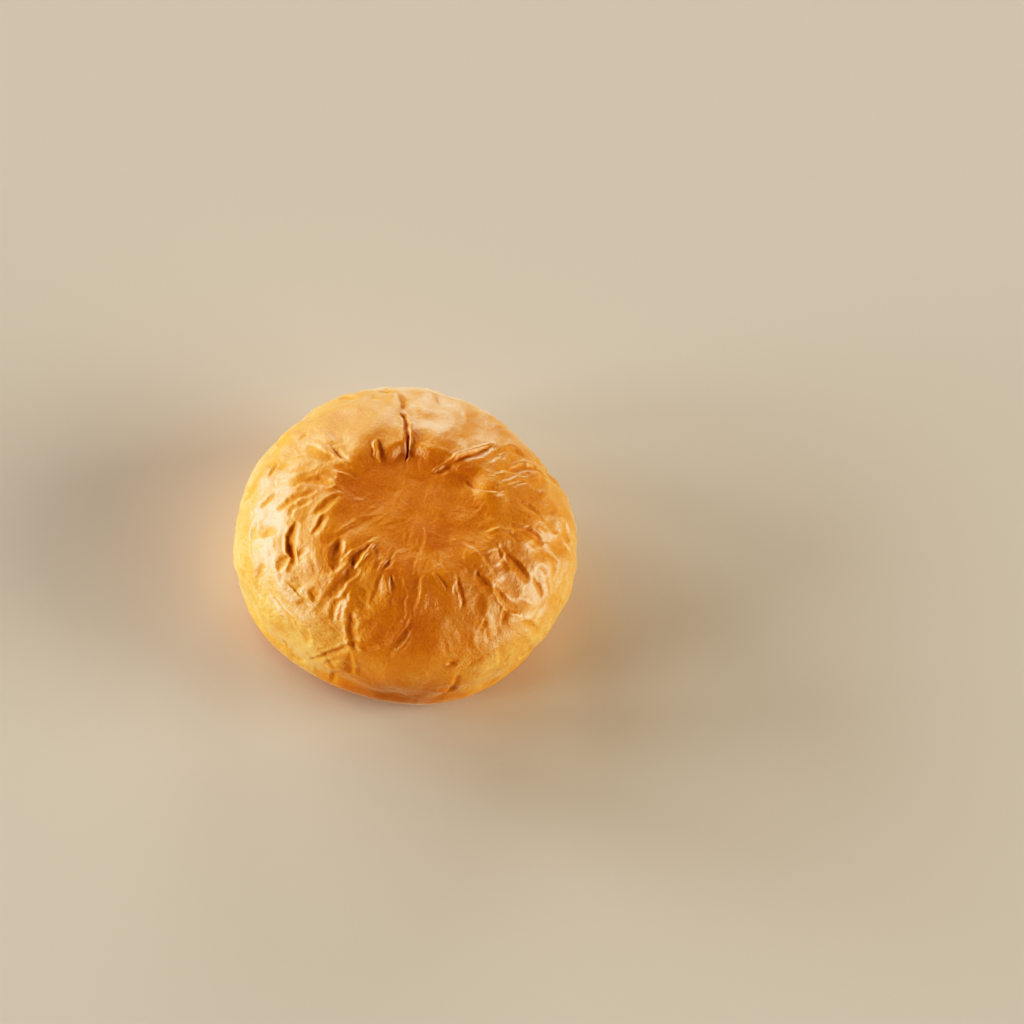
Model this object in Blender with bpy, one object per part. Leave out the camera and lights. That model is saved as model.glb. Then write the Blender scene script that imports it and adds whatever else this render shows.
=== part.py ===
"""Brioche burger bun: one uncut, round roll with a glazed and wrinkled crown.

Metres, +Z up. The bun stands on its flat underside with its front towards -Y, and the origin is
the middle of that underside. Places on the crust are polar: an azimuth in degrees, anticlockwise
from +X as seen from above, and a reach, the distance along the crust from the top of the dome.
"""

import math
import random
from collections import namedtuple

import bmesh
import bpy
import numpy as np
from mathutils import Vector, noise

MM = 0.001

# Driving sizes of the turned form
RADIUS = 52.5 * MM            # at the crown's rolled edge, the widest place
WIDEST_HEIGHT = 20.0 * MM     # of that edge above the table
CROWN_RISE = 30.0 * MM        # from the widest place to the top of the dome
CROWN_FULLNESS = 2.15         # 2 is an ellipse, more is squarer
BASE_RADIUS = 43.4 * MM       # of the flat underside
HEEL_RADIUS = 50.6 * MM       # of the side that stood against the pan
HEEL_EDGE = 9.5 * MM          # height of the rounded edge between underside and side

# Row counts along the profile, and columns around it
COLUMNS = 120
BASE_ROWS = 3
EDGE_ROWS = 5
SIDE_ROWS = 9
CROWN_ROWS = 29

# Uneven outline: swells this many times round, by this share of the radius, highest at this azimuth
Swell = namedtuple("Swell", "lobes share azimuth")
SWELLS = (
    Swell(3, 0.0134, -19.0),
    Swell(4, 0.0127, 21.0),
    Swell(5, 0.0046, 18.0),
)

# Shallow round press in the crown, nearer the front than the middle
PRESS_RADIUS = 20.5 * MM
PRESS_CENTRE = Vector((0.6 * MM, -8.3 * MM))
PRESS_FLOOR = 45.9 * MM       # height of its middle
PRESS_TILT = 0.025            # rise towards the back
PRESS_WALL = 4.2 * MM         # width of the slope round the floor, at the back
PRESS_WALL_FRONT = 9.0 * MM   # and at the front and sides
PRESS_INSET = 0.15            # share of the slope that lies within the press's radius
PRESS_KEEP = 0.75             # share of the crust's relief that stays on the floor
PRESS_SWAY = 1.8 * MM         # how far its edge wanders in and out

# Radial folds that the press's edge pinched up, fainter at the back
PINCH_COUNT = 22
PINCH_SEED = 5
PINCH_WIDTH = (1.2 * MM, 1.6 * MM)
PINCH_DEPTH = (0.12 * MM, 0.40 * MM)

# Wavy line round the side, where the dough rose over the pan's edge and the crown rolls over the heel
PAN_LINE_HEIGHT = 13.4 * MM
PAN_LINE_WAVE = 1.1 * MM
PAN_LINE_DEPTH = 1.4 * MM
PAN_LINE_ABOVE = 1.0 * MM     # height of the rolled edge
PAN_LINE_BELOW = 4.2 * MM     # height over which the heel comes out again
PAN_LINE_FRONT = 0.05         # share of its depth that it keeps at the front

# Lumps over the whole crust
Lump = namedtuple("Lump", "size height")
LUMPS = (Lump(17.0 * MM, 0.7 * MM), Lump(8.0 * MM, 0.8 * MM))

# Folds of the shrunken crust. Each runs from one place to another, bowed sideways by so many mm
# at its middle, and is deepest between its ends. A negative depth is a ridge.
Fold = namedtuple("Fold", "azimuth reach end_azimuth end_reach bow width depth")
FOLDS = (
    # back: the split, out of the press and over the rim
    Fold(108, 41.8, 111, 30.6, -0.7, 1.4, 0.6),
    # left of it: a facet with a hollow, and a short fold
    Fold(140, 21.2, 149, 14.3, 0.4, 1.4, 0.8),
    Fold(142, 22.2, 156, 16.1, -0.2, 1.4, -0.6),
    Fold(162, 31.6, 173, 22.6, 0.4, 1.4, 0.6),
    # right of it: two deep folds, a twisted ridge and an arc
    Fold(71, 7.0, 53, 31.9, 2.5, 1.4, 1.2),
    Fold(29, 15.2, 17, 26.4, 3.2, 1.4, 0.9),
    Fold(20, 23.6, 29, 36.4, -1.0, 1.4, -0.5),
    Fold(32, 30.4, 32, 47.2, -3.2, 1.4, 0.8),
    Fold(35, 48.9, 30, 52.7, -0.7, 1.8, -0.7),
    # left of the press
    Fold(189, 35.0, 193, 25.6, -1.5, 1.8, 0.8),
    Fold(180, 26.5, 183, 18.3, -0.4, 1.5, 0.8),
    # leaf-shaped hollows down the left
    Fold(192, 44.0, 196, 49.3, -0.6, 1.4, 0.5),
    Fold(197, 30.4, 201, 43.0, -0.1, 1.4, 0.6),
    Fold(202, 24.2, 211, 33.6, -0.3, 1.4, 0.6),
    Fold(213, 29.6, 220, 36.0, -0.5, 1.4, 0.5),
    Fold(210, 38.1, 223, 44.5, 0.7, 1.5, 0.75),
    Fold(218, 53.0, 222, 61.0, -0.1, 1.4, 0.5),
    Fold(222, 45.0, 224, 50.7, -0.1, 1.4, 0.8),
    Fold(219, 41.5, 227, 45.4, 0.0, 1.4, 0.7),
    Fold(238, 46.8, 242, 49.8, -0.3, 1.6, 0.5),
    # pinch over the press's lower left edge, and the hollow below it
    Fold(247, 24.6, 247, 35.4, 0.0, 1.4, 0.7),
    Fold(251, 34.6, 248, 46.0, 1.4, 1.7, 0.8),
    Fold(245, 33.6, 245, 43.5, 0.4, 1.4, -0.6),
    Fold(251, 40.5, 254, 51.0, -0.5, 1.4, -0.5),
    # pinched star in the front and its arms
    Fold(260, 55.1, 262, 57.0, 0.2, 1.4, 1.3),
    Fold(260, 56.3, 248, 72.5, 0.7, 1.4, 0.8),
    Fold(256, 47.0, 260, 55.0, 0.0, 1.5, 0.7),
    Fold(262, 56.5, 270, 54.5, 0.3, 1.4, 0.7),
    Fold(261, 59.5, 264, 69.3, 0.0, 1.5, 0.8),
    Fold(256, 70.5, 256, 81.7, 0.0, 1.4, 0.5),
    # down the front
    Fold(279, 26.5, 277, 45.4, -1.6, 2.5, 0.5),
    Fold(280, 41.0, 274, 53.9, -0.7, 1.4, 0.6),
    Fold(280, 46.9, 274, 56.1, -1.3, 1.4, -0.5),
    Fold(266, 32.0, 269, 40.4, 0.0, 1.4, -0.5),
    Fold(292, 30.1, 296, 35.0, -0.1, 1.4, 0.5),
    Fold(294, 56.9, 298, 57.7, 0.3, 1.4, 1),
    Fold(298, 62.3, 296, 74.7, -0.4, 1.4, 0.6),
    # forked hollows down the right front
    Fold(337, 33.4, 336, 45.0, -0.1, 1.7, 0.8),
    Fold(319, 38.4, 325, 50.0, 1.4, 1.6, 0.9),
    Fold(320, 45.0, 316, 50.0, -0.2, 1.4, 0.5),
    Fold(315, 32.5, 318, 39.0, 0.6, 1.7, 0.8),
    Fold(302, 32.0, 302, 41.0, -0.1, 1.4, 0.5),
    Fold(324, 52.1, 331, 62.5, -1.0, 1.4, 0.5),
    # right of the press
    Fold(353, 30.0, 356, 42.4, -0.5, 1.4, 0.9),
    Fold(338, 23.8, 348, 26.8, -0.5, 1.4, 0.6),
)
FOLD_TAPER = 0.6              # under 1 keeps a fold deep nearer to its ends
FOLD_STEPS = 12
DEEPEST = 1.3 * MM            # where folds and dents meet, they don't go much deeper than this

# Smaller dents, scattered by a seeded draw over the crown, mostly down the slope. Sizes in mm, and
# the heading is an angle in degrees from the outward way.
Dents = namedtuple("Dents", "count seed length width depth reach heading spread")
DENTS = Dents(84, 7, (6.0, 12.0), (1.4, 2.2), (0.28, 0.58), (27.0, 77.0), 15.0, 25.0)

# Calm stretches of the crust, where the dents flatten out
Calm = namedtuple("Calm", "azimuth reach radius keep")
CALMS = (
    Calm(85, 32, 21.0, 0.12),
    Calm(136, 36, 15.0, 0.20),
    Calm(195, 42, 20.0, 0.55),
    Calm(238, 50, 18.0, 0.55),
    Calm(282, 54, 17.0, 0.20),
    Calm(325, 46, 18.0, 0.55),
    Calm(15, 42, 18.0, 0.55),
)

CRUST_COLOUR = (0.72, 0.36, 0.08, 1.0)
CRUST_ROUGHNESS = 0.35


def smooth_step(low, high, value):
    """0 below low, 1 above high and an S-curve between them."""
    share = np.clip((value - low) / (high - low), 0.0, 1.0)
    return share * share * (3.0 - 2.0 * share)


def crown_point(turn):
    """Radius and height of the crown's section, for a turn from 0 at its edge to pi/2 on top."""
    power = 2.0 / CROWN_FULLNESS
    radius = RADIUS * max(math.cos(turn), 0.0) ** power
    height = WIDEST_HEIGHT + CROWN_RISE * math.sin(turn) ** power
    return radius, height


def crown_height(radius):
    """Height of the smooth crown over a plan radius."""
    share = np.clip(radius / RADIUS, 0.0, 1.0) ** CROWN_FULLNESS
    return WIDEST_HEIGHT + CROWN_RISE * (1.0 - share) ** (1.0 / CROWN_FULLNESS)


def section(base_rows, edge_rows, side_rows, crown_rows):
    """The bun's half section as (radius, height), from the underside's middle to the top."""
    points = [(BASE_RADIUS * row / base_rows, 0.0) for row in range(base_rows + 1)]
    for row in range(1, edge_rows + 1):
        turn = 0.5 * math.pi * row / edge_rows
        radius = BASE_RADIUS + (HEEL_RADIUS - BASE_RADIUS) * math.sin(turn)
        points.append((radius, HEEL_EDGE * (1.0 - math.cos(turn))))
    for row in range(1, side_rows + 1):
        share = row / side_rows
        radius = HEEL_RADIUS + (RADIUS - HEEL_RADIUS) * float(smooth_step(0.0, 1.0, share))
        points.append((radius, HEEL_EDGE + (WIDEST_HEIGHT - HEEL_EDGE) * share))
    points += [crown_point(0.5 * math.pi * row / crown_rows) for row in range(1, crown_rows)]
    points.append((0.0, WIDEST_HEIGHT + CROWN_RISE))
    return points


def outline(azimuth):
    """Share of the plan radius that the uneven outline takes at an azimuth in radians."""
    share = np.ones_like(azimuth)
    for swell in SWELLS:
        share += swell.share * np.cos(swell.lobes * (azimuth - math.radians(swell.azimuth)))
    return share


def turned_bun():
    """Spins the section into a closed mesh whose rows ring the press at the top."""
    mesh = bmesh.new()
    row = [mesh.verts.new((r, 0.0, z)) for r, z in section(BASE_ROWS, EDGE_ROWS, SIDE_ROWS, CROWN_ROWS)]
    edges = [mesh.edges.new(pair) for pair in zip(row, row[1:])]
    bmesh.ops.spin(mesh, geom=row + edges, cent=(0, 0, 0), axis=(0, 0, 1), angle=math.tau,
                   steps=COLUMNS, use_duplicate=False)
    bmesh.ops.remove_doubles(mesh, verts=mesh.verts, dist=0.01 * MM)
    for vert in mesh.verts:
        x, y, z = vert.co
        radius = math.hypot(x, y)
        if z > WIDEST_HEIGHT:
            slide = 1.0 - float(smooth_step(PRESS_RADIUS + PRESS_WALL, RADIUS, radius))
            x += PRESS_CENTRE.x * slide
            y += PRESS_CENTRE.y * slide
            z = float(crown_height(math.hypot(x, y)))
        share = float(outline(np.array(math.atan2(y, x))))
        vert.co = (x * share, y * share, z)
    bmesh.ops.triangulate(mesh, faces=mesh.faces)
    bmesh.ops.recalc_face_normals(mesh, faces=mesh.faces)
    mesh.normal_update()
    return mesh


def reach_table():
    """Reach along the smooth section from the top, with its radius and height."""
    points = np.array(section(40, 40, 40, 200))[::-1]
    steps = np.hypot(*np.diff(points, axis=0).T)
    reach = np.concatenate([[0.0], np.cumsum(steps)])
    return reach, points[:, 0], points[:, 1]


def crust_place(table, azimuth, reach):
    """Point on the smooth crust at an azimuth in degrees and a reach in metres."""
    angle = math.radians(azimuth)
    radius = float(np.interp(reach, table[0], table[1])) * float(outline(np.array(angle)))
    height = float(np.interp(reach, table[0], table[2]))
    return Vector((radius * math.cos(angle), radius * math.sin(angle), height))


def fold_line(table, fold):
    """The fold's centre line: points from end to end over the crust, bowed sideways."""
    turn = (fold.end_azimuth - fold.azimuth + 180.0) % 360.0 - 180.0
    across = crust_place(table, fold.azimuth + 0.5 * turn, 0.5 * (fold.reach + fold.end_reach) * MM)
    start = crust_place(table, fold.azimuth, fold.reach * MM)
    end = crust_place(table, fold.end_azimuth, fold.end_reach * MM)
    side = (end - start).cross(across - Vector((0, 0, WIDEST_HEIGHT))).normalized()
    line = []
    for step in range(FOLD_STEPS + 1):
        share = step / FOLD_STEPS
        reach = (fold.reach + (fold.end_reach - fold.reach) * share) * MM
        place = crust_place(table, fold.azimuth + turn * share, reach)
        line.append(place + side * (4.0 * share * (1.0 - share) * fold.bow * MM))
    return np.array([tuple(point) for point in line])


def valley(places, line, width, depth):
    """How far each place sinks into a valley with soft lips along a line."""
    gap = np.full(len(places), np.inf)
    along = np.zeros(len(places))
    for index, (start, end) in enumerate(zip(line, line[1:])):
        span = end - start
        share = np.clip((places - start) @ span / (span @ span), 0.0, 1.0)
        away = np.linalg.norm(places - start - share[:, None] * span, axis=1)
        along = np.where(away < gap, (index + share) / (len(line) - 1), along)
        gap = np.minimum(away, gap)
    taper = np.clip(4.0 * along * (1.0 - along), 0.0, 1.0) ** FOLD_TAPER
    across = gap / width
    hollow = np.exp(-across ** 2)
    lips = 0.3 * np.exp(-((across - 1.9) / 0.8) ** 2)
    return depth * taper * (lips - hollow)


def dents_relief(places, table, dents):
    """Relief of a set of seeded dents."""
    relief = np.zeros(len(places))
    draw = random.Random(dents.seed)
    for _ in range(dents.count):
        azimuth = draw.uniform(0.0, 360.0)
        reach = draw.uniform(*dents.reach) * MM
        middle = crust_place(table, azimuth, reach)
        outward = (crust_place(table, azimuth, reach + MM) - middle).normalized()
        round_way = Vector((0, 0, 1)).cross(Vector((middle.x, middle.y, 0.0))).normalized()
        heading = math.radians(draw.gauss(dents.heading, dents.spread))
        way = outward * math.cos(heading) + round_way * math.sin(heading)
        side = outward * math.sin(heading) - round_way * math.cos(heading)
        half = 0.5 * draw.uniform(*dents.length) * MM
        bow = draw.uniform(-0.3, 0.3) * half
        line = [middle + way * half * t + side * bow * (1.0 - t * t) for t in (-1, -0.5, 0, 0.5, 1)]
        width = draw.uniform(*dents.width) * MM
        depth = draw.uniform(*dents.depth) * MM
        relief += valley(places, np.array([tuple(point) for point in line]), width, depth)
    return relief


def pinches_relief(places):
    """Relief of the folds along the spokes of the press, across its edge."""
    relief = np.zeros(len(places))
    draw = random.Random(PINCH_SEED)
    for spoke in range(PINCH_COUNT):
        azimuth = math.tau * (spoke + draw.uniform(-0.35, 0.35)) / PINCH_COUNT
        lean = draw.gauss(0.0, 0.12)
        inner = PRESS_RADIUS * draw.uniform(0.50, 0.90)
        outer = PRESS_RADIUS * draw.uniform(1.05, 1.60)
        line = []
        for share in (0.0, 0.33, 0.67, 1.0):
            away = inner + (outer - inner) * share
            turn = azimuth + lean * share
            spot = PRESS_CENTRE + away * Vector((math.cos(turn), math.sin(turn)))
            line.append((spot.x, spot.y, float(crown_height(spot.length))))
        width = draw.uniform(*PINCH_WIDTH)
        depth = draw.uniform(*PINCH_DEPTH) * draw.choice((1.0, 1.0, -0.6))
        depth *= 1.0 - 0.85 * float(smooth_step(-0.4, 0.3, math.sin(azimuth)))
        relief += valley(places, np.array(line), width, depth)
    return relief


def calm_share(places, table):
    """Share of the dents' depth that is left at each place."""
    share = np.ones(len(places))
    for calm in CALMS:
        away = np.linalg.norm(places - np.array(crust_place(table, calm.azimuth, calm.reach * MM)), axis=1)
        share *= calm.keep + (1.0 - calm.keep) * smooth_step(0.6, 1.3, away / (calm.radius * MM))
    return share


def crust_relief(places):
    """Outward movement of each place of the crust, from folds, dents and lumps."""
    table = reach_table()
    lumps = sum(np.array([noise.noise(Vector(place) / lump.size) for place in places]) * lump.height
                for lump in LUMPS)
    relief = dents_relief(places, table, DENTS) * calm_share(places, table)
    for fold in FOLDS:
        relief += valley(places, fold_line(table, fold), fold.width * MM, fold.depth * MM)
    relief += pinches_relief(places)
    relief = np.where(relief < 0.0, DEEPEST * np.tanh(relief / DEEPEST), relief)
    return lumps + relief


def pan_line(places):
    """Inward movement under the crown's wavy lower edge."""
    azimuth = np.arctan2(places[:, 1], places[:, 0])
    wave = np.cos(2.0 * azimuth) + 0.6 * np.sin(5.0 * azimuth + 2.0) + 0.4 * np.sin(11.0 * azimuth + 1.0)
    rise = places[:, 2] - PAN_LINE_HEIGHT - PAN_LINE_WAVE * wave
    strength = 1.0 - (1.0 - PAN_LINE_FRONT) * smooth_step(0.0, 0.6, -np.sin(azimuth))
    above = np.exp(-(np.maximum(rise, 0.0) / PAN_LINE_ABOVE) ** 2)
    below = np.exp(-(np.maximum(-rise, 0.0) / PAN_LINE_BELOW) ** 1.5)
    return PAN_LINE_DEPTH * strength * above * below


def press_share(places):
    """1 on the floor of the press, 0 outside it, and an S-curve down its wall."""
    across = places[:, 0] - PRESS_CENTRE.x
    back = places[:, 1] - PRESS_CENTRE.y
    azimuth = np.arctan2(back, across)
    sway = np.sin(7.0 * azimuth + 1.0) + 0.7 * np.sin(12.0 * azimuth + 4.0)
    gap = np.hypot(across, back) - PRESS_RADIUS - 0.5 * PRESS_SWAY * sway
    steep = smooth_step(0.65, 0.97, np.sin(azimuth))
    wall = PRESS_WALL_FRONT + (PRESS_WALL - PRESS_WALL_FRONT) * steep
    inside = 1.0 - smooth_step(-PRESS_INSET, 1.0 - PRESS_INSET, gap / wall)
    return inside * (places[:, 2] > WIDEST_HEIGHT)


def shape_crust(mesh):
    """Moves the turned mesh's points to the wrinkled crust with its press and pan line."""
    places = np.array([tuple(vert.co) for vert in mesh.verts])
    normals = np.array([tuple(vert.normal) for vert in mesh.verts])
    relief = crust_relief(places)
    above_edge = smooth_step(0.3 * HEEL_EDGE, HEEL_EDGE, places[:, 2])
    moved = places + normals * (relief * above_edge)[:, None]
    side = smooth_step(0.0, 0.3 * RADIUS, np.hypot(places[:, 0], places[:, 1]))
    moved[:, :2] -= normals[:, :2] * (pan_line(places) * above_edge * side)[:, None]
    pressed = press_share(places)
    plane = PRESS_FLOOR + PRESS_TILT * (places[:, 1] - PRESS_CENTRE.y)
    floor = np.minimum(moved[:, 2], plane + PRESS_KEEP * relief)
    moved[:, 2] += pressed * (floor - moved[:, 2])
    moved[places[:, 2] < 0.01 * MM, 2] = 0.0
    for vert, place in zip(mesh.verts, moved):
        vert.co = place


def centre_on_base(mesh):
    """Puts the middle of the box's underside on the origin."""
    places = np.array([tuple(vert.co) for vert in mesh.verts])
    middle = 0.5 * (places.min(axis=0) + places.max(axis=0))
    shift = Vector((-middle[0], -middle[1], -places[:, 2].min()))
    bmesh.ops.translate(mesh, verts=mesh.verts, vec=shift)


def crust_material():
    """Plain baked crust for the construction model."""
    material = bpy.data.materials.new("crust")
    material.use_nodes = True
    shader = material.node_tree.nodes["Principled BSDF"]
    shader.inputs["Base Color"].default_value = CRUST_COLOUR
    shader.inputs["Roughness"].default_value = CRUST_ROUGHNESS
    shader.inputs["Metallic"].default_value = 0.0
    return material


def make_bun():
    """The whole bun as one closed solid."""
    mesh = turned_bun()
    shape_crust(mesh)
    centre_on_base(mesh)
    data = bpy.data.meshes.new("bun")
    mesh.to_mesh(data)
    mesh.free()
    data.materials.append(crust_material())
    data.shade_smooth()
    data.set_sharp_from_angle(angle=math.radians(50.0))
    bun = bpy.data.objects.new("bun", data)
    bpy.context.scene.collection.objects.link(bun)
    return bun


def main():
    for thing in list(bpy.data.objects):
        bpy.data.objects.remove(thing, do_unlink=True)
    make_bun()


main()
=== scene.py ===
"""Finish of a brioche burger bun: its wrinkled, glazed crust, with a plain floor, lights and camera.

Metres, +Z up. The bun stands on its flat underside with its front towards -Y. Places on the crust
are polar: an azimuth in degrees, anticlockwise from +X as seen from above, and a reach, the
distance along the crust from the top of the dome.
"""

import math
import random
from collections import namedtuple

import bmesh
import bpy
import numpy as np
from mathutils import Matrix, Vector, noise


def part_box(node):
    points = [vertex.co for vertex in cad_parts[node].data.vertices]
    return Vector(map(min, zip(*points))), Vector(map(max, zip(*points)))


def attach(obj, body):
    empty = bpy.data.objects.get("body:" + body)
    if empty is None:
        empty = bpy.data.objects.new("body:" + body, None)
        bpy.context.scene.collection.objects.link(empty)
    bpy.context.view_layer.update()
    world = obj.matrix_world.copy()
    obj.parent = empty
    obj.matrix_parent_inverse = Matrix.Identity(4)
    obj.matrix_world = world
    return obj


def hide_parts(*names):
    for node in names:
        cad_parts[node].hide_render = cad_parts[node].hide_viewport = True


bl_info = {
    "name": "Brioche Burger Bun",
    "version": (1, 0, 0),
    "blender": (4, 5, 0),
    "location": "3D View > Sidebar > Bun",
    "description": "Shapes and bakes a brioche burger bun and lights it on a plain floor",
    "category": "Add Mesh",
}

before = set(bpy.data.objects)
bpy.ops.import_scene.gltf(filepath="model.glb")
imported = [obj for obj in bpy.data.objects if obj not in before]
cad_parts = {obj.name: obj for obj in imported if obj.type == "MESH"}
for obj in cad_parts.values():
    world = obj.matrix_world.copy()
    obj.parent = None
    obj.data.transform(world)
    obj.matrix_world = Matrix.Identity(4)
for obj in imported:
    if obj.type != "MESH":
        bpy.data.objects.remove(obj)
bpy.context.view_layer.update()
NODE_LOW, NODE_HIGH = (Vector(corner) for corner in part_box("bun"))

MM = 0.001

# ---------------------------------------------------------------- sizes of the turned form

RADIUS = 52.5 * MM            # at the crown's rolled edge, the widest place
WIDEST_HEIGHT = 20.0 * MM     # of that edge above the table
CROWN_RISE = 30.0 * MM        # from the widest place to the top of the dome
CROWN_FULLNESS = 2.15         # 2 is an ellipse, more is squarer
BASE_RADIUS = 43.4 * MM       # of the flat underside
HEEL_RADIUS = 50.6 * MM       # of the side that stood against the pan
HEEL_EDGE = 9.5 * MM          # height of the rounded edge between underside and side

COLUMNS = 480
BASE_ROWS = 8
EDGE_ROWS = 12
SIDE_ROWS = 26
CROWN_ROWS = 158
GUIDE_ROWS = (40, 40, 40, 400)    # of the finer section that places on the crust are looked up on
MERGE_GAP = 0.004 * MM        # points of the turned form closer than this are one

Swell = namedtuple("Swell", "lobes share azimuth")
SWELLS = (
    Swell(3, 0.0134, -19.0),
    Swell(4, 0.0127, 21.0),
    Swell(5, 0.0046, 18.0),
)

PRESS_RADIUS = 20.5 * MM
PRESS_CENTRE = Vector((0.6 * MM, -8.3 * MM))
PRESS_FLOOR = 45.9 * MM       # height of its middle
PRESS_TILT = 0.025            # rise towards the back
PRESS_WALL = 4.2 * MM         # width of the slope round its floor, at the back
PRESS_WALL_FRONT = 9.0 * MM   # and at the front and sides
PRESS_INSET = 0.15            # share of the slope that lies within the press's radius
PRESS_KEEP = 0.75             # share of the crust's relief that stays on the floor
PRESS_SWAY = 1.8 * MM         # how far its edge wanders in and out
PRESS_STEEP = (0.65, 0.97)    # sine of the azimuth, over which the slope gets as steep as at the back

PINCH_COUNT = 22              # radial folds that the press's edge pinched up
PINCH_SEED = 5
PINCH_TURN = 0.35             # how far each is off its even place, as a share of their gap
PINCH_LEAN = 0.12             # spread of their headings, in radians
PINCH_INNER = (0.50, 0.90)    # where they start and end, in radii of the press
PINCH_OUTER = (1.05, 1.60)
PINCH_WIDTH = (0.7, 1.5)      # mm
PINCH_DEPTH = (0.12, 0.4)     # mm
PINCH_WAYS = (1.0, 1.0, -0.6)     # two in three sink, and one is a lower ridge
PINCH_FADE = 0.85             # how much fainter they are at the back
PINCH_BACK = (-0.4, 0.3)      # sine of the azimuth, over which they fade towards the back

PAN_LINE_HEIGHT = 13.4 * MM   # of the crown's lower edge, which rolls over the heel
PAN_LINE_WAVE = 1.1 * MM
PAN_LINE_DEPTH = 1.4 * MM
PAN_LINE_ABOVE = 1.0 * MM     # height of the rolled edge
PAN_LINE_BELOW = 4.2 * MM     # height over which the heel comes out again
PAN_LINE_FRONT = 0.05         # share of its depth that it keeps at the front
PAN_LINE_FADE = (0.0, 0.6)    # sine of the azimuth, towards the front, over which it fades

Lump = namedtuple("Lump", "size height")
LUMPS = (Lump(17.0 * MM, 0.7 * MM), Lump(8.0 * MM, 0.80 * MM), Lump(4.0 * MM, 0.14 * MM))

RELIEF_START = 0.3 * HEEL_EDGE    # height at which the crust's relief begins, full at the edge's end
ON_TABLE = 0.01 * MM              # points of the smooth form below this height stay flat on the table

# ---------------------------------------------------------------- folds, dents and crinkles

# Each fold runs from one place to another, bowed sideways by so many mm at its middle, and is
# deepest between its ends. A negative depth is a ridge. Its kind says how its section runs: a low
# sharpness is a V, a high one a flat trough, and lip is the share of the depth that stands up
# along both sides.
Kind = namedtuple("Kind", "sharpness lip")
SPLIT = Kind(1.6, 0.45)
CREASE = Kind(1.3, 0.45)
TROUGH = Kind(3.6, 0.22)
RIDGE = Kind(1.3, 0.20)

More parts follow.
